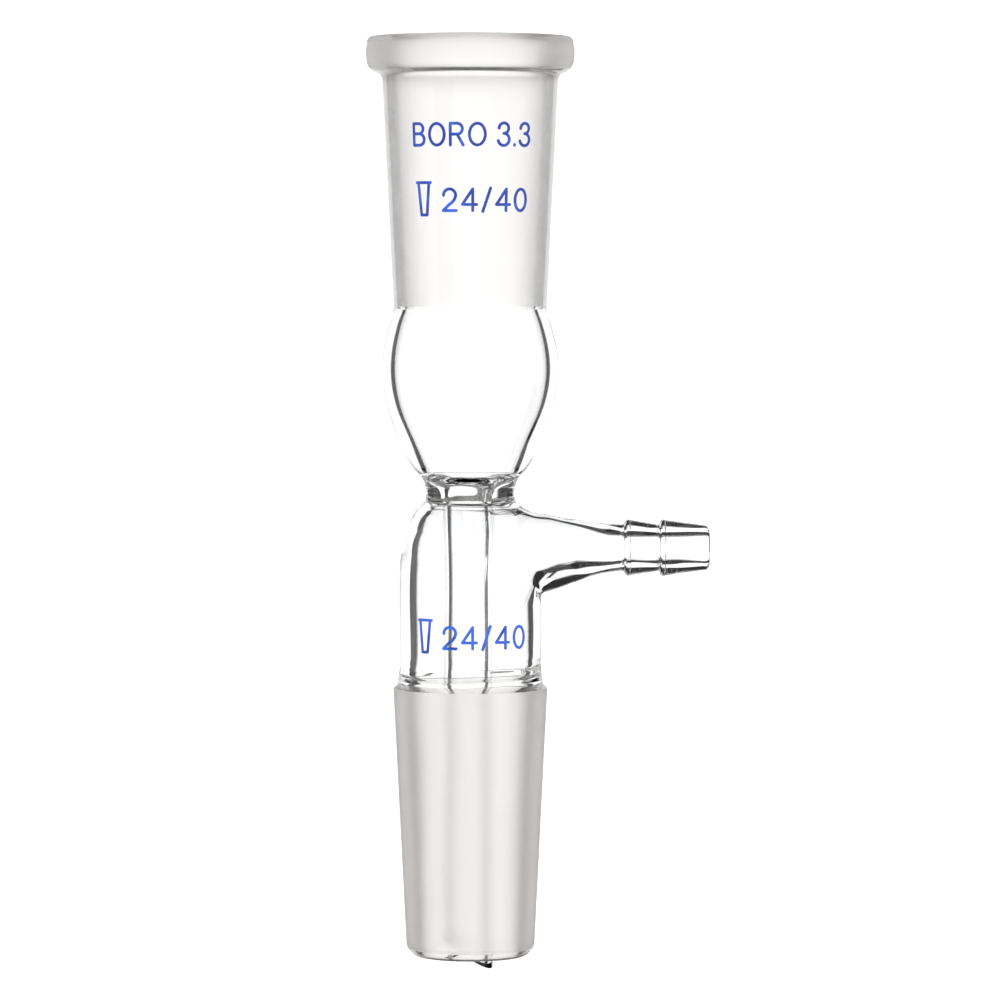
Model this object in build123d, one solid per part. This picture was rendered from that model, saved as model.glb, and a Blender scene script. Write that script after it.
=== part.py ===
from build123d import *

import os
from math import atan2, cos, degrees, hypot, radians, sin

# Straight vacuum adapter in borosilicate glass: a ground socket above, a blown bulb, an inner drip tube fused
# in a ring seal, a jacket with a barbed take-off arm, and a ground cone below. Millimetres, +Z up.
# The origin is the centre of the cone's large end, and the side arm points along +X.
# Outlines are (radius, height) points. A step with two points is an arc through the first to the second.

# Standard taper 24/40: 24 mm across the large end, 40 mm of ground length, 1 mm in 10 on the diameter.
large_radius = 12.0
small_radius = 10.0
ground_length = 40.0

# Heights of the seams where the glass blanks are fused.
cone_seam_z = 1.6
neck_seam_z = 27.4
bulb_seam_z = 34.4
socket_seam_z = 59.4

# Socket with its rolled rim.
socket_wall = 1.9
socket_foot_radius = small_radius + socket_wall
socket_mouth_z = socket_seam_z + ground_length
rim_foot = (13.65, 94.4)
rim_radius = 16.2
rim_top_z = 101.2
rim_steps = [
    ((13.82, 95.0), (14.35, 95.55)),
    ((15.62, 96.35), (16.12, 97.7)),
    ((rim_radius, 98.6), (15.98, 100.2)),
    ((15.8, 100.92), (15.1, rim_top_z)),
    (13.7, rim_top_z),
    ((12.5, 100.62), (large_radius, socket_mouth_z)),
]

# Bulb.
bulb_foot_radius = 8.95
bulb_floor_radius = 6.75
bulb_outside = [
    (socket_foot_radius, socket_seam_z),
    (12.6, 56.6),
    (13.72, 50.2),
    (12.3, 41.8),
    (bulb_foot_radius, bulb_seam_z),
]
bulb_inside = [
    (bulb_floor_radius, bulb_seam_z),
    (10.25, 41.8),
    (11.8, 50.2),
    (10.65, 57.0),
    (small_radius, socket_seam_z),
]

# Neck from the bulb down to the shoulder seam, and the roof of the jacket space under it.
shoulder_top_radius = 8.65
dome_top_radius = 6.1
neck_curve = [(bulb_foot_radius, bulb_seam_z), (7.35, 32.4), (6.92, 30.6), (6.95, 29.55)]
neck_foot = (7.23, 28.9)
neck_foot_middle = (7.02, 29.2)
cavity_roof_z = 28.25
cavity_roof_radius = 4.1
cavity_roof_middle = (5.25, 28.05)

# Drip tube.
drip_outer_radius = 3.88
drip_bore_radius = 2.68
drip_offset_x = -0.4
drip_tip_z = -44.1
drip_bevel_angle = 33.0
drip_tip_azimuth = -12.0

# Funnel from the bulb's floor into the drip tube, as (height, centre x, radius).
funnel_sections = [
    (bulb_seam_z, 0.0, bulb_floor_radius),
    (33.6, 0.0, 5.85),
    (33.0, -0.04, 4.85),
    (32.3, -0.12, 3.95),
    (31.2, -0.25, 3.25),
    (29.9, -0.36, 2.83),
    (28.6, drip_offset_x, drip_bore_radius),
    (neck_seam_z, drip_offset_x, drip_bore_radius),
]

# Jacket.
body_radius = 11.04
body_bore_radius = 8.75
body_foot_radius = 11.26
body_foot_middle = (11.1, 2.6)
body_foot_end_z = 4.0
shoulder_curve = [(body_radius, 17.5), (10.4, 23.2), (9.78, 25.3), (shoulder_top_radius, neck_seam_z)]
dome_curve = [(body_bore_radius, 20.6), (8.4, 23.4), (7.6, 25.4), (dome_top_radius, neck_seam_z)]

# Cone: the clear shoulder above the ground length and the fire-polished lip below it.
cone_bore_radius = 8.9
cone_tip_bore = (7.65, -40.7)
cone_shoulder_steps = [
    (body_foot_radius + 0.06, 0.75),
    ((11.6, 0.36), (large_radius, 0)),
]
cone_lip_steps = [
    ((9.55, -41.05), (8.7, -41.8)),
    ((7.95, -41.55), cone_tip_bore),
]

# Side arm: sections as (x, centre height, outer radius) and (x, centre height, bore radius).
arm_axis_z = 21.85
boss_end_x = 14.5
arm_end_x = 23.6
stem_radius = 3.62
connector_bore_radius = 2.05
boss_sections = [(5.0, 20.95, 6.4), (9.0, 20.95, 6.35), (11.35, 20.97, 6.12), (boss_end_x, 21.15, 5.35)]
boss_bore_sections = [(5.0, 22.0, 4.2), (9.0, 22.0, 4.1), (12.2, 22.1, 3.8), (boss_end_x, 22.12, 3.3)]
arm_sections = [
    (boss_end_x, 21.15, 5.35),
    (17.7, 21.5, 4.58),
    (20.5, 21.76, 3.93),
    (arm_end_x, arm_axis_z, stem_radius),
]
arm_bore_sections = [
    (boss_end_x, 22.12, 3.3),
    (17.7, 21.98, 2.85),
    (20.5, 21.9, 2.45),
    (arm_end_x, arm_axis_z, connector_bore_radius),
]

# Barbed hose connector, as (radius, distance from the arm's end).
connector_length = 13.6
barb_radius = 4.42
barb_steps = [
    (3.72, 0.28),
    ((4.12, 0.5), (4.36, 0.75)),
    ((barb_radius, 1.0), (4.36, 1.3)),
    (3.7, 5.25),
    ((stem_radius, 5.6), (3.86, 5.86)),
    ((barb_radius, 6.3), (4.34, 6.8)),
    (3.52, connector_length - 0.85),
    ((3.3, connector_length - 0.25), (2.85, connector_length)),
    ((2.25, connector_length - 0.15), (connector_bore_radius, connector_length - 0.6)),
    (connector_bore_radius, 0),
    (stem_radius, 0),
]

# Printed enamel marks.
enamel_thickness = 0.08
mark_height = 3.3
mark_stroke = 0.46
mark_gap = 0.5
mark_space = 0.6
mark_azimuth = 1.6
mark_depth = 1.0
skin_half_height = 5.0
upper_line_z = 85.8
upper_size_z = 75.8
lower_size_z = 8.5
size_text = ["taper", " ", "2", "4", "/", "4", "0"]


def ring(edges):
    """Solid of revolution about Z from a closed outline of (radius, 0, height) edges."""
    return revolve(make_face(Curve() + edges), Axis.Z, 360)


def at(radius, height):
    return (radius, 0, height)


def trace_outline(start, steps):
    """Edges from a start point: a point is a straight edge to it, and a pair is an arc's middle and end."""
    edges = []
    for step in steps:
        if isinstance(step[0], tuple):
            middle, end = step
            edges.append(ThreePointArc(at(*start), at(*middle), at(*end)))
        else:
            end = step
            edges.append(Line(at(*start), at(*end)))
        start = end
    return edges


def smooth(points, start=None, end=None):
    """Smooth edge through (radius, height) points, with optional end directions."""
    if start is None:
        return Spline(*[at(*p) for p in points])
    return Spline(*[at(*p) for p in points], tangents=(at(*start), at(*end)))


def arm_loft(sections):
    """Smooth horizontal solid through circles that face +X."""
    planes = [(Plane((x, 0, z), x_dir=(0, 1, 0), z_dir=(1, 0, 0)), radius) for x, z, radius in sections]
    return loft([plane * Circle(radius) for plane, radius in planes])


def socket_outer_radius(z):
    """The socket's outside runs parallel to its ground taper."""
    return socket_foot_radius + (z - socket_seam_z) * (large_radius - small_radius) / ground_length


def socket_joint():
    foot = (socket_foot_radius, socket_seam_z)
    return ring(trace_outline(foot, [rim_foot] + rim_steps + [(small_radius, socket_seam_z), foot]))


def bulb():
    floor = trace_outline(bulb_outside[-1], [bulb_inside[0]])
    top = trace_outline(bulb_inside[-1], [bulb_outside[0]])
    return ring([smooth(bulb_outside)] + floor + [smooth(bulb_inside)] + top)


def drip_cylinder(radius, low_z, high_z):
    return Pos(drip_offset_x, 0, (low_z + high_z) / 2) * Cylinder(radius, high_z - low_z)


def ring_seal():
    """Thick neck: the bulb's funnel floor above, the jacket space's roof below, the drip bore between."""
    seam_edge = (shoulder_top_radius, neck_seam_z)
    edges = [smooth(neck_curve, start=(-0.68, -1), end=(0.1, -1))]
    edges += trace_outline(neck_curve[-1], [(neck_foot_middle, neck_foot)])
    edges += [smooth([neck_foot, seam_edge], start=(1, -0.95), end=(0.62, -1))]
    edges += trace_outline(seam_edge, [(0, neck_seam_z), (0, bulb_seam_z), neck_curve[0]])
    roof_foot = (dome_top_radius, neck_seam_z)
    roof_steps = [
        (cavity_roof_middle, (cavity_roof_radius, cavity_roof_z)),
        (0, cavity_roof_z),
        (0, neck_seam_z),
        roof_foot,
    ]
    roof = ring(trace_outline(roof_foot, roof_steps))
    stub = drip_cylinder(drip_outer_radius, neck_seam_z, cavity_roof_z)
    funnel = loft([Plane((x, 0, z)) * Circle(radius) for z, x, radius in funnel_sections])
    return ring(edges) - roof + stub - funnel


def drip_tube():
    """Straight tube, cut off along a plane that is lowest towards the tip's azimuth."""
    spare = 2 * drip_outer_radius
    tube = drip_cylinder(drip_outer_radius, drip_tip_z - spare, neck_seam_z)
    tube -= drip_cylinder(drip_bore_radius, drip_tip_z - spare, neck_seam_z)
    azimuth = radians(drip_tip_azimuth)
    slope = radians(drip_bevel_angle)
    reach = drip_outer_radius
    tip = (drip_offset_x + reach * cos(azimuth), reach * sin(azimuth), drip_tip_z)
    normal = (-sin(slope) * cos(azimuth), -sin(slope) * sin(azimuth), -cos(slope))
    waste_side = 10 * drip_outer_radius
    waste = Plane(tip, z_dir=normal) * Pos(0, 0, waste_side / 2) * Box(waste_side, waste_side, waste_side)
    return tube - waste


def jacket_outside():
    foot = (body_foot_radius, cone_seam_z)
    edges = trace_outline(foot, [(body_foot_middle, (body_radius, body_foot_end_z)), shoulder_curve[0]])
    edges += [smooth(shoulder_curve, start=(0, 1), end=(-0.62, 1))]
    edges += trace_outline(shoulder_curve[-1], [(0, neck_seam_z), (0, cone_seam_z), foot])
    return ring(edges)


def jacket_space():
    foot = (body_bore_radius, cone_seam_z)
    edges = trace_outline(foot, [dome_curve[0]])
    edges += [smooth(dome_curve, start=(0, 1), end=(-1, 0.75))]
    edges += trace_outline(dome_curve[-1], [(0, neck_seam_z), (0, cone_seam_z), foot])
    return ring(edges)


def body_tube():
    """Jacket with its rounded shoulder and the boss that is pulled out of its side for the arm."""
    glass = jacket_outside() + arm_loft(boss_sections)
    return glass - jacket_space() - arm_loft(boss_bore_sections)


def side_arm():
    return arm_loft(arm_sections) - arm_loft(arm_bore_sections)


def hose_connector():
    """Barbed end, turned about the arm's own axis and then laid along +X."""
    along_x = Plane((arm_end_x, 0, arm_axis_z), x_dir=(0, 0, 1), z_dir=(1, 0, 0))
    return along_x * ring(trace_outline((stem_radius, 0), barb_steps))


def cone_joint():
    """Ground cone with a clear shoulder above and a fire-polished lip below."""
    top = (body_foot_radius, cone_seam_z)
    ground_end = (small_radius, -ground_length)
    bore_steps = [(cone_bore_radius, 0), (body_bore_radius, cone_seam_z), top]
    return ring(trace_outline(top, cone_shoulder_steps + [ground_end] + cone_lip_steps + bore_steps))


# Strokes of each character in a cell one unit high. An ellipse is given by its centre and half sizes.
strokes = {
    "0": [("ellipse", (0.31, 0.5), (0.31, 0.5))],
    "2": [
        ("arc", (0.02, 0.71), (0.31, 1), (0.6, 0.71)),
        ("arc", (0.6, 0.71), (0.52, 0.49), (0.3, 0.29)),
        ("line", (0.3, 0.29), (0, 0)),
        ("line", (0, 0), (0.62, 0)),
    ],
    "3": [
        ("arc", (0.03, 0.78), (0.46, 0.93), (0.27, 0.54)),
        ("arc", (0.27, 0.54), (0.55, 0.27), (0, 0.2)),
    ],
    "4": [("line", (0.48, 0), (0.48, 1)), ("line", (0.48, 1), (0, 0.28)), ("line", (0, 0.28), (0.66, 0.28))],
    "B": [
        ("line", (0, 0), (0, 1)),
        ("line", (0, 1), (0.3, 1)),
        ("arc", (0.3, 1), (0.53, 0.765), (0.3, 0.53)),
        ("line", (0, 0.53), (0.32, 0.53)),
        ("arc", (0.32, 0.53), (0.58, 0.265), (0.32, 0)),
        ("line", (0.32, 0), (0, 0)),
    ],
    "O": [("ellipse", (0.37, 0.5), (0.37, 0.5))],
    "R": [
        ("line", (0, 0), (0, 1)),
        ("line", (0, 1), (0.32, 1)),
        ("arc", (0.32, 1), (0.57, 0.75), (0.32, 0.5)),
        ("line", (0, 0.5), (0.32, 0.5)),
        ("line", (0.32, 0.5), (0.6, 0)),
    ],
    ".": [("line", (0, 0), (0, 0.03))],
    "/": [("line", (0, -0.04), (0.36, 1.04))],
    "taper": [
        ("line", (0, 1.3), (0.74, 1.3)),
        ("line", (0.08, 1.3), (0.22, -0.2)),
        ("line", (0.66, 1.3), (0.52, -0.2)),
        ("line", (0.22, -0.2), (0.52, -0.2)),
    ],
}


def glyph(name):
    """Flat face of one character, drawn with a round-ended pen of one width."""
    face = Sketch()
    for kind, *points in strokes[name]:
        scaled = [(x * mark_height, y * mark_height) for x, y in points]
        if kind == "ellipse":
            centre, half = scaled
            pen = mark_stroke / 2
            hoop = Ellipse(half[0] + pen, half[1] + pen) - Ellipse(half[0] - pen, half[1] - pen)
            face += Pos(*centre) * hoop
        elif kind == "arc":
            face += SlotArc(ThreePointArc(*scaled), mark_stroke)
        else:
            (x0, y0), (x1, y1) = scaled
            length = hypot(x1 - x0, y1 - y0)
            turn = degrees(atan2(y1 - y0, x1 - x0))
            middle = Pos((x0 + x1) / 2, (y0 + y1) / 2) * Rot(0, 0, turn)
            face += middle * SlotCenterToCenter(length, mark_stroke)
    return face


def print_mark(characters, middle_z, skin, radius):
    """Characters wrapped round the glass and centred, each facing straight out and cut to the skin."""
    faces = [glyph(name) if name in strokes else None for name in characters]
    widths = [face.bounding_box().size.X if face else mark_space for face in faces]
    cursor = -(sum(widths) + mark_gap * (len(widths) - 1)) / 2
    inner = radius - mark_depth
    marks = []
    for face, width in zip(faces, widths):
        if face:
            turn = (cursor + width / 2) / radius + radians(mark_azimuth)
            plane = Plane(
                (sin(turn) * inner, -cos(turn) * inner, middle_z - mark_height / 2),
                x_dir=(cos(turn), sin(turn), 0),
                z_dir=(sin(turn), -cos(turn), 0),
            )
            centred = Pos(-face.bounding_box().center().X, 0) * face
            marks += (skin & (plane * extrude(centred, 3 * mark_depth))).solids()
        cursor += width + mark_gap
    return Compound(children=marks)


def enamel_skin(low_radius, low_z, high_radius, high_z):
    """Thin layer on the outside of a straight or tapered wall between two heights."""
    foot = (low_radius, low_z)
    steps = [
        (low_radius + enamel_thickness, low_z),
        (high_radius + enamel_thickness, high_z),
        (high_radius, high_z),
        foot,
    ]
    return ring(trace_outline(foot, steps))


def socket_mark(characters, middle_z):
    low_z, high_z = middle_z - skin_half_height, middle_z + skin_half_height
    skin = enamel_skin(socket_outer_radius(low_z), low_z, socket_outer_radius(high_z), high_z)
    return print_mark(characters, middle_z, skin, socket_outer_radius(middle_z))


def body_mark(characters, middle_z):
    low_z, high_z = body_foot_end_z, middle_z + skin_half_height
    return print_mark(characters, middle_z, enamel_skin(body_radius, low_z, body_radius, high_z), body_radius)


nodes = {
    "socket_joint": socket_joint(),
    "bulb": bulb(),
    "ring_seal": ring_seal(),
    "drip_tube": drip_tube(),
    "body_tube": body_tube(),
    "side_arm": side_arm(),
    "hose_connector": hose_connector(),
    "cone_joint": cone_joint(),
    "glass_type_mark": socket_mark("BORO 3.3", upper_line_z),
    "upper_size_mark": socket_mark(size_text, upper_size_z),
    "lower_size_mark": body_mark(size_text, lower_size_z),
}

os.makedirs("parts", exist_ok=True)
for name, solid in nodes.items():
    export_step(solid, f"parts/{name}.step")
    print(name, len(solid.solids()), round(solid.volume, 2))
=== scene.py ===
from math import atan2, radians, tan

import bmesh
import bpy
import numpy as np
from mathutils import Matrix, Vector


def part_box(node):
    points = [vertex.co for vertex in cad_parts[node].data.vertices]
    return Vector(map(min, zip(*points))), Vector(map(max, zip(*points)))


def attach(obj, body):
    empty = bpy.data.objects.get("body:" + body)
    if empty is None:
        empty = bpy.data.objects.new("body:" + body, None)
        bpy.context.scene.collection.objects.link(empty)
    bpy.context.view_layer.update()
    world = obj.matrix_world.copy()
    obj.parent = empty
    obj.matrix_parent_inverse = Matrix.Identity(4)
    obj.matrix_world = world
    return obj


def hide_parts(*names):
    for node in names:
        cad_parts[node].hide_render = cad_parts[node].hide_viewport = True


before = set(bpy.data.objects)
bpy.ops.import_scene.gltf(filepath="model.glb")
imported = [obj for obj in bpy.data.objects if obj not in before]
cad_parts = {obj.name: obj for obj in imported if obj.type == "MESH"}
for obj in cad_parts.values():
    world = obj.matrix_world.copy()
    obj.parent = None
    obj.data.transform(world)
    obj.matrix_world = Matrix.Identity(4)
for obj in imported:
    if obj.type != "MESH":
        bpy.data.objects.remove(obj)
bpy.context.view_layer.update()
print("frame loaded with", len(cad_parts), "nodes")

# All shapes below are in millimetres, in the frame's own axes. Meshes are written in metres.
millimetre = 0.001


def low(node):
    return np.array(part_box(node)[0]) / millimetre


def high(node):
    return np.array(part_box(node)[1]) / millimetre


# Heights and places that the CAD part sets.
seamCone = low("body_tube")[2]
seamNeck = high("body_tube")[2]
seamBulb = low("bulb")[2]
seamSocket = high("bulb")[2]
bossEnd = high("body_tube")[0]
armEnd = low("hose_connector")[0]
armTip = high("hose_connector")[0]
armHeight = (low("hose_connector")[2] + high("hose_connector")[2]) / 2
dripShift = (low("drip_tube")[0] + high("drip_tube")[0]) / 2
rimTop = high("socket_joint")[2]
lipLow = low("cone_joint")[2]
dripLow = low("drip_tube")[2]

# Finishes in the order of each glass piece's material slots.
clear, ground, fused, groundBore = 0, 1, 2, 3


def smoothLine(points, count, leave=None, arrive=None):
    # Cubic spline through the points by chord length, with even curvature at every point.
    # leave and arrive are unit-speed end directions; without them that end has no curvature.
    p = np.array(points, float)
    h = np.linalg.norm(np.diff(p, axis=0), axis=1)
    u = np.concatenate([[0], np.cumsum(h)])
    rise = np.diff(p, axis=0) / h[:, None]
    system = np.diag(np.concatenate([[2], 2 * (h[:-1] + h[1:]), [2]]))
    inner = np.arange(1, len(p) - 1)
    system[inner, inner - 1] = h[1:]
    system[inner, inner + 1] = h[:-1]
    system[0, 1] = system[-1, -2] = 1
    sides = np.vstack([3 * rise[:1], 3 * (h[1:, None] * rise[:-1] + h[:-1, None] * rise[1:]), 3 * rise[-1:]])
    for end, direction in ((0, leave), (-1, arrive)):
        if direction is not None:
            system[end] = 0
            system[end, end] = 1
            sides[end] = np.array(direction) / np.linalg.norm(direction)
    slope = np.linalg.solve(system, sides)
    s = np.linspace(0, u[-1], count)
    k = np.clip(np.searchsorted(u, s, side="right") - 1, 0, len(h) - 1)
    t = ((s - u[k]) / h[k])[:, None]
    g = h[k][:, None]
    return (
        (1 + 2 * t) * (1 - t) ** 2 * p[k]
        + t * (1 - t) ** 2 * g * slope[k]
        + t * t * (3 - 2 * t) * p[k + 1]
        + t * t * (t - 1) * g * slope[k + 1]
    )


def straight(start, end, count):
    # Points on a line, drawn close together at both ends so that shading meets its neighbour cleanly.
    t = np.linspace(0, 1, count)
    near = 0.12 * t[1]
    t = np.concatenate([[0, near], t[1:-1], [1 - near, 1]])[:, None]
    return (1 - t) * np.array(start, float) + t * np.array(end, float)


def bend(start, middle, end, count):
    # Arc of the circle through three points.
    a, b, c = (np.array(p, float) for p in (start, middle, end))
    rows = 2 * np.array([b - a, c - a])
    centre = np.linalg.solve(rows, [b @ b - a @ a, c @ c - a @ a])
    angles = np.unwrap([atan2(*(p - centre)[::-1]) for p in (a, b, c)])
    turn = np.linspace(angles[0], angles[2], count)
    radius = np.linalg.norm(a - centre)
    return centre + radius * np.stack([np.cos(turn), np.sin(turn)], 1)


def outlineOf(*stretches):
    # Joins (points, finish) stretches into one closed outline and gives each of its edges a finish.
    rows = np.vstack([points[:-1] for points, finish in stretches])
    finishes = np.concatenate([np.full(len(points) - 1, finish) for points, finish in stretches])
    return rows, finishes


def ripple(around, along, seed, longest, count=6):
    # Hand-worked unevenness between about -1 and 1: a sum of cosine waves round and along the glass.
    rng = np.random.default_rng(seed)
    lobes = rng.integers(1, 6, count)
    lengthwise = rng.uniform(-1, 1, count) * 2 * np.pi / longest
    starts = rng.uniform(0, 2 * np.pi, count)
    total = sum(np.cos(m * around + k * along + start) for m, k, start in zip(lobes, lengthwise, starts))
    return total / np.sqrt(count)


def closedGrid(points, finishes):
    # Quads of a grid of points, closed both ways; each row carries the finish of the band that follows it.
    rows, columns = points.shape[:2]
    i, j = np.meshgrid(np.arange(rows), np.arange(columns), indexing="ij")
    up, side = (i + 1) % rows, (j + 1) % columns
    quads = np.stack([i * columns + j, i * columns + side, up * columns + side, up * columns + j], -1)
    return points.reshape(-1, 3), quads.reshape(-1, 4), np.repeat(finishes, columns)


def standing(radius, height, shift=0.0):
    # Circles round the upright axis: x = shift + r cos a, y = r sin a, z = height.
    return np.stack(np.broadcast_arrays(shift + radius * np.cos(turns), radius * np.sin(turns), height), -1)


def lying(radius, along, centre):
    # Circles round the side arm: x = along, y = -r cos a, z = centre + r sin a.
    return np.stack(np.broadcast_arrays(along, -radius * np.cos(turns), centre + radius * np.sin(turns)), -1)


def column(values):
    return np.asarray(values, float)[:, None]


def addPiece(name, vertices, quads, finishes, node, slot):
    mesh = bpy.data.meshes.new(name)
    mesh.from_pydata(vertices * millimetre, [], quads)
    mesh.polygons.foreach_set("material_index", finishes.astype(np.int32))
    work = bmesh.new()
    work.from_mesh(mesh)
    bmesh.ops.recalc_face_normals(work, faces=work.faces)
    work.to_mesh(mesh)
    work.free()
    mesh.shade_smooth()
    mesh.set_sharp_from_angle(angle=radians(50))
    piece = bpy.data.objects.new(name, mesh)
    bpy.context.scene.collection.objects.link(piece)
    for material in (clearGlass, groundGlass, fusedSeam, groundBoreGlass):
        mesh.materials.append(material)
    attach(piece, "root")
    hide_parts(node)
    print("made", name, "with", len(mesh.polygons), "faces")


turns = np.linspace(0, 2 * np.pi, 256, endpoint=False)


class Signal:
    # One output socket. Arithmetic on it adds Math nodes.
    def __init__(self, tree, socket):
        self.tree = tree
        self.socket = socket

    def math(self, operation, first, second=None, third=None):
        node = self.tree.nodes.new("ShaderNodeMath")
        node.operation = operation
        for slot, value in zip(node.inputs, (first, second, third)):
            if value is not None:
                plug(self.tree, value, slot)
        return Signal(self.tree, node.outputs[0])

    def __add__(self, other):
        return self.math("ADD", self, other)

    def __sub__(self, other):
        return self.math("SUBTRACT", self, other)

    def __rsub__(self, other):
        return self.math("SUBTRACT", other, self)

    def __mul__(self, other):
        return self.math("MULTIPLY", self, other)

    def __abs__(self):
        return self.math("ABSOLUTE", self)

    __radd__ = __add__
    __rmul__ = __mul__


def plug(tree, value, socket):
    if isinstance(value, Signal):
        tree.links.new(value.socket, socket)
    else:
        socket.default_value = value


class Wiring:
    # A cleared node tree that hands out nodes as signals.
    def __init__(self, owner):
        owner.use_nodes = True
        self.tree = owner.node_tree
        self.tree.nodes.clear()

    def add(self, kind, settings=None, inputs=None, output=0):
        node = self.tree.nodes.new(kind)
        for key, value in (settings or {}).items():
            setattr(node, key, value)
        for key, value in (inputs or {}).items():
            plug(self.tree, value, node.inputs[key])
        return Signal(self.tree, node.outputs[output]) if node.outputs else node

    def smooth(self, value, start, end):
        # 0 before start and 1 after end, with an S-shaped rise between.
        ranges = {"Value": value, "From Min": start, "From Max": end}
        return self.add("ShaderNodeMapRange", {"interpolation_type": "SMOOTHSTEP"}, ranges)

    def noise(self, scale, detail=2.0, stretch=(1, 1, 1), roughness=0.5):
        place = self.add("ShaderNodeTexCoord", output="Object")
        place = self.add("ShaderNodeMapping", inputs={"Vector": place, "Scale": stretch})
        inputs = {"Vector": place, "Scale": scale, "Detail": detail, "Roughness": roughness}
        return self.add("ShaderNodeTexNoise", inputs=inputs)

    def between(self, first, second, share):
        # Colour mix; sockets 0, 6 and 7 are its factor and its two colours.
        return self.add("ShaderNodeMix", {"data_type": "RGBA"}, {0: share, 6: first, 7: second}, 2)


def newMaterial(name, build):
    material = bpy.data.materials.new(name)
    wiring = Wiring(material)
    shader = build(wiring)
    wiring.add("ShaderNodeOutputMaterial", inputs={"Surface": shader})
    return material


glassLook = {
    "index": 1.474,
    "roughness": 0.012,
    "streakScale": 90,
    "streakStretch": (1, 1, 0.15),
    "streakBump": 0.02,
    "tint": (0.998, 0.999, 0.998, 1),
    "tintDeep": (0.99, 0.994, 0.992, 1),
}
# Ground surfaces scatter the share of the light that does not pass through.
grindScale = {"grain": 9000, "cloud": 160}
coneGrind = {
    "tint": (0.95, 0.922, 0.905, 1), "tintDeep": (0.92, 0.89, 0.87, 1),
    "roughness": 0.46, "grain": 0.06, "through": 0.84,
}
boreGrind = {
    "tint": (0.99, 0.972, 0.96, 1), "tintDeep": (0.97, 0.95, 0.938, 1),
    "roughness": 0.4, "grain": 0.06, "through": 0.98,
}


def buildClearGlass(w):
    streaks = w.noise(glassLook["streakScale"], 2, glassLook["streakStretch"])
    colour = w.between(glassLook["tint"], glassLook["tintDeep"], streaks)
    bumpInputs = {"Height": streaks, "Strength": glassLook["streakBump"], "Distance": 0.0004}
    bump = w.add("ShaderNodeBump", inputs=bumpInputs)
    return w.add("ShaderNodeBsdfPrincipled", inputs={
        "Base Color": colour,
        "Roughness": glassLook["roughness"] * w.noise(400, 3),
        "IOR": glassLook["index"],
        "Transmission Weight": 1.0,
        "Normal": bump,
    })


def grindBuilder(look):
    def build(w):
        grain = w.noise(grindScale["grain"], 3, roughness=0.7)
        cloud = w.noise(grindScale["cloud"], 3)
        bump = w.add("ShaderNodeBump", inputs={"Height": grain, "Strength": 0.25, "Distance": 0.00005})
        return w.add("ShaderNodeBsdfPrincipled", inputs={
            "Base Color": w.between(look["tint"], look["tintDeep"], cloud),
            "Roughness": look["roughness"] + look["grain"] * (cloud - 0.5),
            "IOR": glassLook["index"],
            "Transmission Weight": look["through"],
            "Normal": bump,
        })
    return build


def buildFusedSeam(w):
    return w.add("ShaderNodeBsdfTransparent")


# The upper lines are printed more thickly than the lower one, from thinUnder up to thickOver in metres.
enamelLook = {
    "deep": (0.01, 0.04, 0.29, 1), "thin": (0.029, 0.106, 0.56, 1),
    "patchScale": 300, "thinUnder": 0.02, "thickOver": 0.08,
}


def buildEnamel(w):
    patches = w.noise(enamelLook["patchScale"], 4, roughness=0.6)
    place = w.add("ShaderNodeTexCoord", output="Object")
    height = w.add("ShaderNodeSeparateXYZ", inputs={0: place}, output=2)
    thick = w.smooth(height, enamelLook["thinUnder"], enamelLook["thickOver"])
    share = w.smooth(patches + 0.08 - 0.14 * thick, 0.4, 0.62)
    colour = w.between(enamelLook["deep"], enamelLook["thin"], share)
    bump = w.add("ShaderNodeBump", inputs={"Height": patches, "Strength": 0.3, "Distance": 0.00003})
    return w.add("ShaderNodeBsdfPrincipled", inputs={
        "Base Color": colour,
        "Roughness": 0.3 + 0.2 * patches,
        "Normal": bump,
    })


clearGlass = newMaterial("clearGlass", buildClearGlass)
groundGlass = newMaterial("groundGlass", grindBuilder(coneGrind))
groundBoreGlass = newMaterial("groundBoreGlass", grindBuilder(boreGrind))
fusedSeam = newMaterial("fusedSeam", buildFusedSeam)
blueEnamel = newMaterial("blueEnamel", buildEnamel)
print("materials made")


# Outside of the jacket, neck and boss, shared by the pieces that meet there.
jacket = {
    "radius": 11.04,
    "bore": 8.75,
    "outsideTop": 1.8,
    "outsideUnder": 0.8,
    "insideTop": 4.2,
    "insideUnder": 5.2,
    "neckLeave": (0.68, 1),
    "shoulder": [(11.04, 17.5), (10.4, 23.2), (9.78, 25.3), (8.65, seamNeck)],
    "dome": [(8.75, 20.6), (8.4, 23.4), (7.6, 25.4), (6.1, seamNeck)],
    "neck": [(6.95, 29.55), (6.92, 30.6), (7.35, 32.4), (8.95, seamBulb)],
}
# Side arm sections as x, centre height and radius, for the outside and the bore.
armOutside = [
    (5.0, 20.95, 6.4), (9.0, 20.95, 6.35), (11.35, 20.97, 6.12), (bossEnd, 21.15, 5.35),
    (17.7, 21.5, 4.58), (20.5, 21.76, 3.93), (armEnd, armHeight, 3.62),
]
armBore = [
    (5.0, 22.0, 4.2), (9.0, 22.0, 4.1), (12.2, 22.1, 3.8), (bossEnd, 22.12, 3.3),
    (17.7, 21.98, 2.85), (20.5, 21.9, 2.45), (armEnd, armHeight, 2.05),
]


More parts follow.
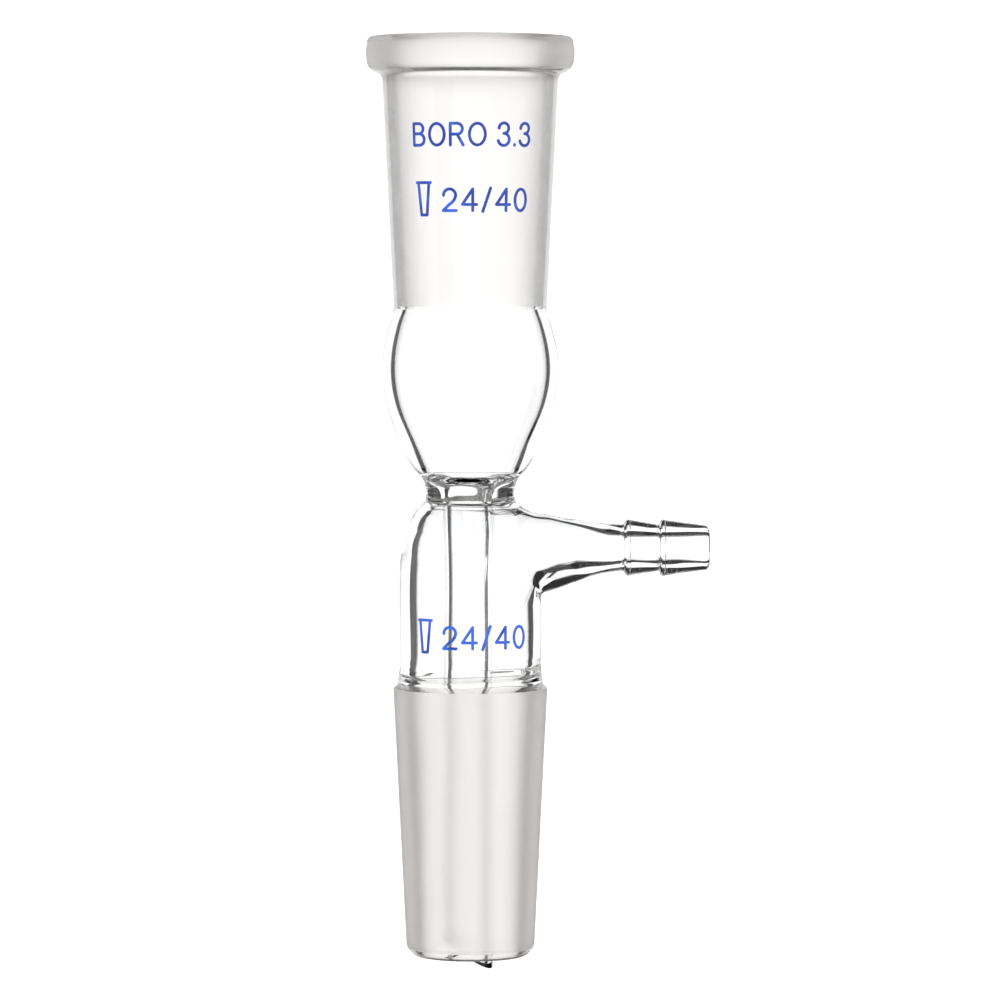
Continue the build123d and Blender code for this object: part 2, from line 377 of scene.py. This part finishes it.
def jacketOutline():
    foot = bend((11.26, seamCone), (11.1, 2.6), (11.04, 4.0), 30)
    shoulder = smoothLine(jacket["shoulder"], 160, leave=(0, 1), arrive=(-0.62, 1))
    slope = smoothLine([(8.65, seamNeck), (7.23, 28.9)], 40, leave=(-0.62, 1), arrive=(-1, 0.95))
    fillet = bend((7.23, 28.9), (7.02, 29.2), (6.95, 29.55), 30)
    neck = smoothLine(jacket["neck"], 120, leave=(-0.1, 1), arrive=jacket["neckLeave"])
    return np.vstack([foot, shoulder, slope[1:], fillet[1:], neck[1:]])


def spaceOutline():
    dome = smoothLine(jacket["dome"], 140, leave=(0, 1), arrive=(-1, 0.75))
    return np.vstack([[(jacket["bore"], seamCone)], dome])


weld = {
    "ridge": 0.24, "ridgeUneven": 0.4, "ridgeHeight": 1.3, "ridgeWidth": 0.34, "ridgeSway": 0.22,
    "waves": 0.03, "wavesHeight": 2.9, "wavesReach": 2.0, "longestWave": 1.1,
}


def weldShape(around, height):
    # Inner wall at the weld: a low uneven ridge, and small waves that die out a few millimetres away.
    ridge = 1 + weld["ridgeUneven"] * ripple(around, 0 * height, 29, 8)
    crest = weld["ridgeHeight"] + weld["ridgeSway"] * ripple(around, 0 * height, 37, 8)
    ridge = weld["ridge"] * ridge * np.exp(-((height - crest) / weld["ridgeWidth"]) ** 2)
    waves = weld["waves"] * ripple(around, height, 3, weld["longestWave"], 9)
    return waves * np.exp(-((height - weld["wavesHeight"]) / weld["wavesReach"]) ** 2) - ridge


outsideTable = jacketOutline()
spaceTable = spaceOutline()


def sectionAt(sections, x):
    # Centre height and radius of the arm at x, from a smooth curve through its sections.
    table = smoothLine(sections, 400)
    return np.interp(x, table[:, 0], table[:, 1]), np.interp(x, table[:, 0], table[:, 2])


def filletBetween(height, start, above, below):
    # Goes from above to below along an S-shaped curve over the four millimetres under start.
    span = 4
    share = np.clip((start - height) / span, 0, 1)
    return above + (below - above) * share * share * (3 - 2 * share)


def outsideFillet(height):
    # The arm runs into the shoulder softly above its axis and more tightly below it.
    return filletBetween(height, armHeight + 2, jacket["outsideTop"], jacket["outsideUnder"])


def insideFillet(height):
    # The bore opens into the jacket with a wide curve below and a tighter one above.
    return filletBetween(height, armHeight + 1, jacket["insideTop"], jacket["insideUnder"])


def softUnion(a, b, size):
    # The lower of two distances, rounded where they are within size of each other.
    near = np.maximum(size - np.abs(a - b), 0) / size
    return np.minimum(a, b) - near * near * size / 4


def reach(around, height, table, sections, fillet):
    # Radius where a level ray from the axis leaves the union of the turned jacket and the lying arm.
    # It is found by halving a span that surely holds it.
    nearest, farthest, notArm = 4.0, 18.0, 9.0
    inside, outside = np.full(np.shape(around), nearest), np.full(np.shape(around), farthest)
    turned = np.interp(height, table[:, 1], table[:, 0])
    for halving in range(34):
        middle = (inside + outside) / 2
        centre, radius = sectionAt(sections, middle * np.cos(around))
        arm = np.hypot(middle * np.sin(around), height - centre) - radius
        arm = np.where(np.cos(around) > 0.2, arm, notArm)
        filled = softUnion(middle - turned, arm, fillet) < 0
        inside, outside = np.where(filled, middle, inside), np.where(filled, outside, middle)
    return (inside + outside) / 2


socket = {
    "wall": 1.9, "foot": 94.4, "mouth": 12.0, "floor": 10.0, "groundTop": 99.4,
    # Corners of the rolled rim from its foot round to its inside, as radius and height.
    "rimFoot": (14.35, 95.55), "rimEdge": (16.12, 97.7), "rimShoulder": (15.98, 100.2),
    "rimOutside": (15.1, rimTop), "rimInside": (13.7, rimTop),
}


def buildSocket():
    base = (socket["floor"] + socket["wall"], seamSocket)
    foot = (base[0] + (socket["foot"] - seamSocket) / 20, socket["foot"])
    mouth = (socket["mouth"], socket["groundTop"])
    corners = ("rimFoot", "rimEdge", "rimShoulder", "rimOutside", "rimInside")
    rimFoot, rimEdge, rimShoulder, rimOutside, rimInside = (socket[key] for key in corners)
    # The rim is frosted apart from its foot.
    under = bend(rimFoot, (15.62, 96.35), rimEdge, 17)
    rows, finishes = outlineOf(
        (straight(base, foot, 70), clear),
        (bend(foot, (13.82, 95.0), rimFoot, 8), clear),
        (under[:8], clear),
        (under[7:], groundBore),
        (bend(rimEdge, (16.2, 98.6), rimShoulder, 14), groundBore),
        (bend(rimShoulder, (15.8, 100.92), rimOutside, 12), groundBore),
        (straight(rimOutside, rimInside, 4), groundBore),
        (bend(rimInside, (12.5, 100.62), mouth, 14), groundBore),
        (straight(mouth, (socket["floor"], seamSocket), 80), groundBore),
        (np.array([(socket["floor"], seamSocket), base]), fused),
    )
    radius, height = column(rows[:, 0]), column(rows[:, 1])
    grid = closedGrid(standing(radius, height), finishes)
    addPiece("socketGlass", *grid, "socket_joint", "ground_glass")


bulb = {
    "outside": [(11.9, seamSocket), (12.6, 56.6), (13.72, 50.2), (12.3, 41.8), (8.95, seamBulb)],
    "inside": [(6.75, seamBulb), (10.25, 41.8), (11.8, 50.2), (10.65, 57.0), (10.0, seamSocket)],
    "uneven": 0.035,
}


def buildBulb():
    rows, finishes = outlineOf(
        (smoothLine(bulb["outside"], 120, leave=(0.1, -1), arrive=(-0.68, -1)), clear),
        (np.array([(8.95, seamBulb), (6.75, seamBulb)]), fused),
        (smoothLine(bulb["inside"], 120, leave=(0.5, 1), arrive=(-0.2, 1)), clear),
        (np.array([(10.0, seamSocket), (11.9, seamSocket)]), fused),
    )
    radius, height = column(rows[:, 0]), column(rows[:, 1])
    fade = np.clip((height - seamBulb) / 4, 0, 1) * np.clip((seamSocket - height) / 4, 0, 1)
    radius = radius + bulb["uneven"] * fade * ripple(turns, height, 11, 16)
    grid = closedGrid(standing(radius, height), finishes)
    addPiece("bulbGlass", *grid, "bulb", "clear_glass")


# Ring seal: the neck's outside comes from the jacket's values. Roof and funnel points are radius, height and
# shift of the circle's centre along x.
seal = {
    "roof": [(6.1, seamNeck, 0), (5.25, 28.05, -0.1), (4.6, 28.22, -0.3), (4.1, 28.25, dripShift)],
    "roofCorner": (3.88, 28.25, dripShift),
    "funnel": [
        (2.68, seamNeck, dripShift), (2.68, 28.6, dripShift), (2.75, 29.9, -0.36), (2.98, 31.0, -0.27),
        (3.5, 32.0, -0.15), (4.45, 32.8, -0.06), (5.6, 33.4, 0), (6.75, seamBulb, 0),
    ],
    "uneven": 0.02,
}


def buildRingSeal():
    heights = straight((0, seamBulb), (0, seamNeck), 70)[:, 1]
    around, level = np.meshgrid(turns, heights)
    outside = reach(around, level, outsideTable, armOutside, outsideFillet(level))
    rows, finishes = outlineOf(
        (smoothLine(seal["roof"], 60), clear),
        (np.array([seal["roof"][-1], seal["roofCorner"]]), clear),
        (straight(seal["roofCorner"], (3.88, seamNeck, dripShift), 6), clear),
        (np.array([(3.88, seamNeck, dripShift), (2.68, seamNeck, dripShift)]), fused),
        (smoothLine(seal["funnel"], 90, leave=(0, 1, 0), arrive=(0.9, 1, 0)), clear),
        (np.array([(6.75, seamBulb, 0), (8.95, seamBulb, 0)]), fused),
    )
    radius, height, shift = (column(rows[:, k]) for k in range(3))
    fade = np.clip((height - 28.3) / 1.5, 0, 1) * np.clip((seamBulb - height) / 2, 0, 1)
    radius = radius + seal["uneven"] * fade * ripple(turns, height, 5, 4)
    points = np.concatenate([standing(outside, column(heights))[:-1],
                             standing(outside[-1:], column([seamNeck])), standing(radius, height, shift)])
    finishes = np.concatenate([np.full(len(heights) - 1, clear), [fused], finishes])
    addPiece("ringSealGlass", *closedGrid(points, finishes), "ring_seal", "clear_glass")


drip = {"outside": 3.88, "bore": 2.68, "bevel": 33.0, "tipTurn": -12.0, "rounding": 0.35, "uneven": 0.02}


def buildDripTube():
    middle, half = (drip["outside"] + drip["bore"]) / 2, (drip["outside"] - drip["bore"]) / 2
    lip = np.linspace(0, np.pi, 15)
    share = straight((0, 0), (0, 1), 150)[:, 1]
    along = np.concatenate([share, np.ones(len(lip) - 2), share[::-1]])
    radius = np.concatenate([np.full(len(share), drip["outside"]), (middle + half * np.cos(lip))[1:-1],
                             np.full(len(share), drip["bore"])])
    raised = np.concatenate([np.full(len(share), 1.0), (1 - np.sin(lip))[1:-1], np.full(len(share), 1.0)])
    radius, along, raised = column(radius), column(along), column(raised)
    # The tip follows a plane that is lowest towards tipTurn.
    away = drip["outside"] - radius * np.cos(turns - radians(drip["tipTurn"]))
    plane = dripLow + tan(radians(drip["bevel"])) * away
    tip = plane + drip["rounding"] * raised
    height = seamNeck + along * (tip - seamNeck)
    fade = np.clip((seamNeck - height) / 3, 0, 1)
    radius = radius + drip["uneven"] * fade * ripple(turns, height, 23, 22)
    finishes = np.concatenate([np.full(len(radius) - 1, clear), [fused]])
    grid = closedGrid(standing(radius, height, dripShift), finishes)
    addPiece("dripTubeGlass", *grid, "drip_tube", "clear_glass")


boss = {
    "columns": 256, "halfColumns": 34, "windowFoot": 8.6, "steps": 44, "uneven": 0.03,
    "boreShift": 0.26,
}


def wallWithBoss(table, sections, fillet, shake):
    # One wall of the jacket: a grid round the axis with a rectangular window, and a patch that runs from
    # the window in to the circle where the arm is fused on. Returns its points, quads and edge rings.
    columns, half = boss["columns"], boss["halfColumns"]
    around = np.linspace(0, 2 * np.pi, columns, endpoint=False)
    weldEnd = (0, 5)
    weldHeights = straight((0, seamCone), weldEnd, 45)[:-1, 1]
    # The rows are close together beside the weld.
    heights = np.concatenate([weldHeights, straight(weldEnd, (0, seamNeck), 90)[2:, 1]])
    lowRow = int(np.searchsorted(heights, boss["windowFoot"]))
    a, z = np.meshgrid(around, heights)
    radius = reach(a, z, table, sections, fillet(z)) + shake(a, z)
    points = np.stack([radius * np.cos(a), radius * np.sin(a), z], -1).reshape(-1, 3)
    top = len(heights) - 1
    i, j = np.meshgrid(np.arange(top), np.arange(columns), indexing="ij")
    inWindow = (i >= lowRow) & ((j < half) | (j >= columns - half))
    i, j = i[~inWindow], j[~inWindow]
    side = (j + 1) % columns
    here, above = i * columns, (i + 1) * columns
    quads = np.stack([here + j, here + side, above + side, above + j], -1)
    across, up = np.arange(-half, half), np.arange(lowRow, top)
    frameRows = np.concatenate([np.full(2 * half, lowRow), up, np.full(2 * half, top), up[::-1] + 1])
    frameColumns = np.concatenate([across, np.full(len(up), half), -across, np.full(len(up), -half)])
    edge = frameRows * columns + frameColumns % columns
    edgeAround, edgeHeight = frameColumns * 2 * np.pi / columns, heights[frameRows]
    # The circle at the boss's end, at the angle of each window point seen from its centre.
    centre, size = sectionAt(sections, bossEnd)
    turn = np.arctan2(edgeHeight - centre, jacket["radius"] * edgeAround)
    ringY, ringZ = size * np.cos(turn), centre + size * np.sin(turn)
    share = (np.linspace(0, 1, boss["steps"]) ** 1.5)[:-1, None]
    patchAround = (1 - share) * np.arctan2(ringY, bossEnd) + share * edgeAround
    patchHeight = (1 - share) * ringZ + share * edgeHeight
    patchRadius = reach(patchAround, patchHeight, table, sections, fillet(patchHeight))
    patchRadius = patchRadius + shake(patchAround, patchHeight) * share
    patchRadius[0] = np.hypot(bossEnd, ringY)
    patch = np.stack([patchRadius * np.cos(patchAround), patchRadius * np.sin(patchAround), patchHeight], -1)
    patchIndex = np.arange(patch.shape[0] * patch.shape[1]).reshape(patch.shape[:2])
    index = np.vstack([len(points) + patchIndex, edge])
    ahead = np.roll(index, -1, axis=1)
    quads = np.vstack([quads, np.stack([index[:-1], ahead[:-1], ahead[1:], index[1:]], -1).reshape(-1, 4)])
    rims = index[0], np.arange(columns), top * columns + np.arange(columns)
    return np.vstack([points, patch.reshape(-1, 3)]), quads, rims


def buildBody():
    def still(a, z):
        return 0 * a

    def uneven(a, z):
        # The bore sits a little towards the arm. It is gently uneven, and rougher beside the weld.
        fade = np.clip((z - seamCone) / 3, 0, 1) * np.clip((seamNeck - z) / 3, 0, 1)
        shift = boss["boreShift"] * np.cos(a)
        return fade * (shift + boss["uneven"] * ripple(a, z, 7, 18)) + weldShape(a, z)

    outer, outerQuads, outerRims = wallWithBoss(outsideTable, armOutside, outsideFillet, still)
    inner, innerQuads, innerRims = wallWithBoss(spaceTable, armBore, insideFillet, uneven)
    seams = []
    for outerRim, innerRim in zip(outerRims, innerRims):
        a, b = outerRim, innerRim + len(outer)
        seams.append(np.stack([a, np.roll(a, -1), np.roll(b, -1), b], -1))
    seams = np.vstack(seams)
    quads = np.vstack([outerQuads, innerQuads + len(outer), seams])
    walls = np.full(len(outerQuads) + len(innerQuads), clear)
    finishes = np.concatenate([walls, np.full(len(seams), fused)])
    addPiece("bodyGlass", np.vstack([outer, inner]), quads, finishes, "body_tube", "clear_glass")


arm = {"uneven": 0.05}


def buildSideArm():
    x = straight((0, bossEnd), (0, armEnd), 60)[:, 1]
    centreOut, radiusOut = sectionAt(armOutside, x)
    centreIn, radiusIn = sectionAt(armBore, x[::-1])
    along = column(np.concatenate([x, x[::-1]]))
    centre = column(np.concatenate([centreOut, centreIn]))
    radius = column(np.concatenate([radiusOut, radiusIn]))
    fade = np.clip((along - bossEnd) / 2, 0, 1) * np.clip((armEnd - along) / 2, 0, 1)
    radius = radius + arm["uneven"] * fade * ripple(turns, along, 31, 9)
    finishes = np.full(2 * len(x), clear)
    finishes[[len(x) - 1, -1]] = fused
    addPiece("sideArmGlass", *closedGrid(lying(radius, along, centre), finishes), "side_arm", "clear_glass")


connector = {
    "stem": 3.62, "bore": 2.05, "crest": 4.42, "uneven": 0.03,
    # Places of the two barbs' crests and of the groove between them, from the arm's end.
    "firstBarb": 1.0, "firstEnd": 5.25, "secondBarb": 6.3, "tail": 3.52,
}


def buildConnector():
    end = armTip - armEnd
    stem, bore, crest, tail = (connector[key] for key in ("stem", "bore", "crest", "tail"))
    first, groove, second = connector["firstBarb"], connector["firstEnd"], connector["secondBarb"]
    rows, finishes = outlineOf(
        (straight((stem, 0), (3.72, 0.28), 4), clear),
        (bend((3.72, 0.28), (4.12, 0.5), (4.36, 0.75), 8), clear),
        (bend((4.36, 0.75), (crest, first), (4.36, 1.3), 8), clear),
        (straight((4.36, 1.3), (3.7, groove), 24), clear),
        (bend((3.7, groove), (3.62, 5.6), (3.86, 5.86), 10), clear),
        (bend((3.86, 5.86), (crest, second), (4.34, 6.8), 12), clear),
        (straight((4.34, 6.8), (tail, end - 0.85), 34), clear),
        (bend((tail, end - 0.85), (3.3, end - 0.25), (2.85, end), 10), clear),
        (bend((2.85, end), (2.25, end - 0.15), (bore, end - 0.6), 10), clear),
        (straight((bore, end - 0.6), (bore, 0), 60), clear),
        (np.array([(bore, 0), (stem, 0)]), fused),
    )
    radius, along = column(rows[:, 0]), column(armEnd + rows[:, 1])
    fade = np.clip((along - armEnd) / 1.5, 0, 1) * np.clip((armTip - along) / 1.0, 0, 1)
    radius = radius + connector["uneven"] * fade * ripple(turns, along, 41, 6)
    grid = closedGrid(lying(radius, along, armHeight), finishes)
    addPiece("hoseConnectorGlass", *grid, "hose_connector", "clear_glass")


cone = {
    "wide": 12.0, "narrow": 10.0, "groundEnd": -40.0, "boreTip": 7.65, "boreTop": 8.9, "shoulder": 11.26,
    "uneven": 0.05,
}


def buildCone():
    weldFoot, weldTop = (cone["boreTop"], 0), (jacket["bore"], seamCone)
    shoulder, narrow = (cone["shoulder"], seamCone), (cone["narrow"], cone["groundEnd"])
    boreTip = (cone["boreTip"], -40.7)
    # The grinding runs a little way round the lip.
    lip = bend(narrow, (9.55, -41.05), (8.7, lipLow), 18)
    rows, finishes = outlineOf(
        (straight(shoulder, (11.32, 0.75), 6), clear),
        (bend((11.32, 0.75), (11.6, 0.36), (cone["wide"], 0), 10), clear),
        (straight((cone["wide"], 0), narrow, 90), ground),
        (lip[:6], ground),
        (lip[5:], clear),
        (bend((8.7, lipLow), (7.95, lipLow + 0.25), boreTip, 14), clear),
        (straight(boreTip, (8.83, -2), 80), clear),
        (straight((8.83, -2), weldFoot, 18), clear),
        (straight(weldFoot, weldTop, 26), clear),
        (np.array([weldTop, shoulder]), fused),
    )
    radius, height = column(rows[:, 0]), column(rows[:, 1])
    inner = (radius < 9.2) & (height > -40)
    fade = np.clip((seamCone - height) / 3, 0, 1) * np.clip((height + 40) / 4, 0, 1)
    uneven = cone["uneven"] * fade * ripple(turns, height, 17, 20)
    radius = radius + inner * (uneven + weldShape(turns, height))
    addPiece("coneGlass", *closedGrid(standing(radius, height), finishes), "cone_joint", "ground_glass")


buildSocket()
buildBulb()
buildRingSeal()
buildDripTube()
buildBody()
buildSideArm()
buildConnector()
buildCone()

for markName in ("glass_type_mark", "upper_size_mark", "lower_size_mark"):
    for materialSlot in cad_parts[markName].material_slots:
        materialSlot.material = blueEnamel
print("marks finished")


studio = {
    "white": 1.22, "dark": 0.03, "reflectionLoss": 0.22, "floorDrop": 0.066, "floorRadius": 0.34,
    "cameraDistance": 0.8, "cameraHeight": 0.066, "aimX": 0.0047, "aimZ": 0.0292, "fieldWidth": 0.1557,
    # Dark cards as compass angle from +Y towards +X and half width, in degrees.
    # Low cards stand under levelFoot and steep cards under steepFoot.
    "levelCards": [(53, 16), (-53, 16), (-145, 13)],
    "solidCards": [(34, 8), (-34, 8)],
    "lowCards": [(53, 16), (-53, 16), (190, 13), (79, 11)],
    "steepCards": [(18, 6), (-103, 9)],
    # Lamps as name, place, width in metres and power in watts.
    "lamps": [("overhead", (0.15, -0.2, 1.5), 1.1, 26), ("front", (-0.5, -1.3, 0.7), 0.7, 12)],
    # Upward and downward angles in degrees where the wall ends and the dark begins.
    "wallTop": 29, "base": -47, "edgeBase": -41, "levelFoot": -10.3, "overlap": 3,
    "steepFoot": -19, "floorGlow": -75,
    # Half widths in degrees of the soft edges of cards and of the wall's ends.
    "cardBlur": 2.5, "wallBlur": 3, "levelBlur": 0.8, "steepBlur": 1,
}


def buildWorld():
    world = bpy.data.worlds.new("studioWalls")
    bpy.context.scene.world = world
    w = Wiring(world)
    direction = w.add("ShaderNodeTexCoord", output="Generated")
    x = w.add("ShaderNodeSeparateXYZ", inputs={0: direction}, output=0)
    y = w.add("ShaderNodeSeparateXYZ", inputs={0: direction}, output=1)
    z = w.add("ShaderNodeSeparateXYZ", inputs={0: direction}, output=2)
    degree = 180 / np.pi
    compass = degree * x.math("ARCTAN2", x, y)
    height = degree * z.math("ARCSINE", z)

    def darker(first, second):
        return first.math("MAXIMUM", first, second)

    def cards(places):
        total = None
        for middle, half in places:
            # Distance round the compass, wrapped into 0 to 180.
            away = abs(compass.math("WRAP", compass - middle, 180.0, -180.0))
            card = 1 - w.smooth(away, half - studio["cardBlur"], half + studio["cardBlur"])
            total = card if total is None else darker(total, card)
        return total

    # A view straight through a tube crosses four surfaces. The low and steep cards and the edge base are seen
    # only by rays that crossed one or two, as at an outline, or that were reflected. The solid cards are seen
    # only by the first of these.
    crossings = w.add("ShaderNodeLightPath", output="Transmission Depth")
    turned = w.add("ShaderNodeLightPath", output="Glossy Depth")
    fewCrossed = crossings.math("GREATER_THAN", crossings, 0.5) * crossings.math("LESS_THAN", crossings, 2.5)
    turnedBack = turned.math("GREATER_THAN", turned, 0.5)
    edge = darker(fewCrossed, turnedBack)
    solid = fewCrossed * (1 - turnedBack)

    def over(level, blur, value=height):
        # 1 above that angle and 0 below it, with a soft step between.
        return w.smooth(value, studio[level] - studio[blur], studio[level] + studio[blur])

    levelZone = over("levelFoot", "levelBlur")
    lowZone = 1 - over("levelFoot", "levelBlur", height - studio["overlap"])
    above = over("wallTop", "wallBlur")
    base = 1 - over("base", "wallBlur")
    edgeBase = 1 - over("edgeBase", "wallBlur")
    steepZone = 1 - over("steepFoot", "steepBlur")
    lowShade = darker(cards(studio["lowCards"]) * lowZone, cards(studio["steepCards"]) * steepZone)
    edgeShade = edge * darker(lowShade, edgeBase)
    edgeShade = darker(edgeShade, solid * cards(studio["solidCards"]))
    shade = darker(darker(above, base), darker(cards(studio["levelCards"]) * levelZone, edgeShade))
    # Straight down it is bright again, as over a lit floor.
    shade = shade * over("floorGlow", "wallBlur")
    strength = studio["white"] + (studio["dark"] - studio["white"]) * shade
    # Reflections of the walls off the outside of the glass are dimmed, so that its dark lines stay dark.
    outsideOnly = turnedBack * crossings.math("LESS_THAN", crossings, 0.5)
    strength = strength * (1 - studio["reflectionLoss"] * outsideOnly)
    background = w.add("ShaderNodeBackground", inputs={"Color": (1, 1, 1, 1), "Strength": strength})
    w.add("ShaderNodeOutputWorld", inputs={"Surface": background})


def buildFloor():
    rows, columns = 24, 96
    radius = np.linspace(0, studio["floorRadius"], rows)[1:, None]
    around = np.linspace(0, 2 * np.pi, columns, endpoint=False)
    circles = np.broadcast_arrays(radius * np.cos(around), radius * np.sin(around), 0)
    ring = np.stack(circles, -1).reshape(-1, 3)
    floorHeight = dripLow * millimetre - studio["floorDrop"]
    points = np.vstack([ring, [[0, 0, 0]]]) + [0, 0, floorHeight]
    i, j = np.meshgrid(np.arange(rows - 2), np.arange(columns), indexing="ij")
    side = (j + 1) % columns
    inward, outward = i * columns, (i + 1) * columns
    quads = np.stack([inward + j, outward + j, outward + side, inward + side], -1)
    hub = [(len(ring), a, (a + 1) % columns) for a in range(columns)]
    mesh = bpy.data.meshes.new("floor")
    mesh.from_pydata(points, [], quads.reshape(-1, 4).tolist() + hub)
    floor = bpy.data.objects.new("floor", mesh)
    bpy.context.scene.collection.objects.link(floor)

    def build(w):
        speckle = w.noise(60, 3)
        colour = w.between((0.9, 0.9, 0.9, 1), (0.93, 0.93, 0.93, 1), speckle)
        inputs = {"Base Color": colour, "Roughness": 0.7 + 0.1 * speckle}
        return w.add("ShaderNodeBsdfPrincipled", inputs=inputs)

    mesh.materials.append(newMaterial("paleFloor", build))
    # Glass shows the studio walls rather than the floor, as in a light tent.
    floor.visible_transmission = False
    floor.visible_glossy = False


def addLight(name, place, size, power):
    light = bpy.data.lights.new(name, "AREA")
    light.shape = "DISK"
    light.size = size
    light.energy = power
    lamp = bpy.data.objects.new(name, light)
    bpy.context.scene.collection.objects.link(lamp)
    lamp.location = place
    toCentre = -(lamp.location - Vector((0, 0, studio["aimZ"])))
    lamp.rotation_euler = toCentre.to_track_quat("-Z", "Y").to_euler()
    lamp.visible_transmission = False
    lamp.visible_glossy = False


def buildCamera():
    camera = bpy.data.cameras.new("camera")
    camera.sensor_width = 36
    camera.lens = camera.sensor_width * studio["cameraDistance"] / studio["fieldWidth"]
    camera.clip_start, camera.clip_end = 0.01, 100
    viewer = bpy.data.objects.new("camera", camera)
    bpy.context.scene.collection.objects.link(viewer)
    viewer.location = (studio["aimX"], -studio["cameraDistance"], studio["cameraHeight"])
    aim = Vector((studio["aimX"], 0, studio["aimZ"]))
    viewer.rotation_euler = (aim - viewer.location).to_track_quat("-Z", "Y").to_euler()
    bpy.context.scene.camera = viewer


buildWorld()
buildFloor()
for lampSettings in studio["lamps"]:
    addLight(*lampSettings)
buildCamera()

scene = bpy.context.scene
scene.view_settings.view_transform = "Standard"
scene.cycles.max_bounces = 40
scene.cycles.transmission_bounces = 40
scene.cycles.glossy_bounces = 16
scene.cycles.diffuse_bounces = 4
scene.cycles.transparent_max_bounces = 64
scene.cycles.use_denoising = True
print("studio ready")
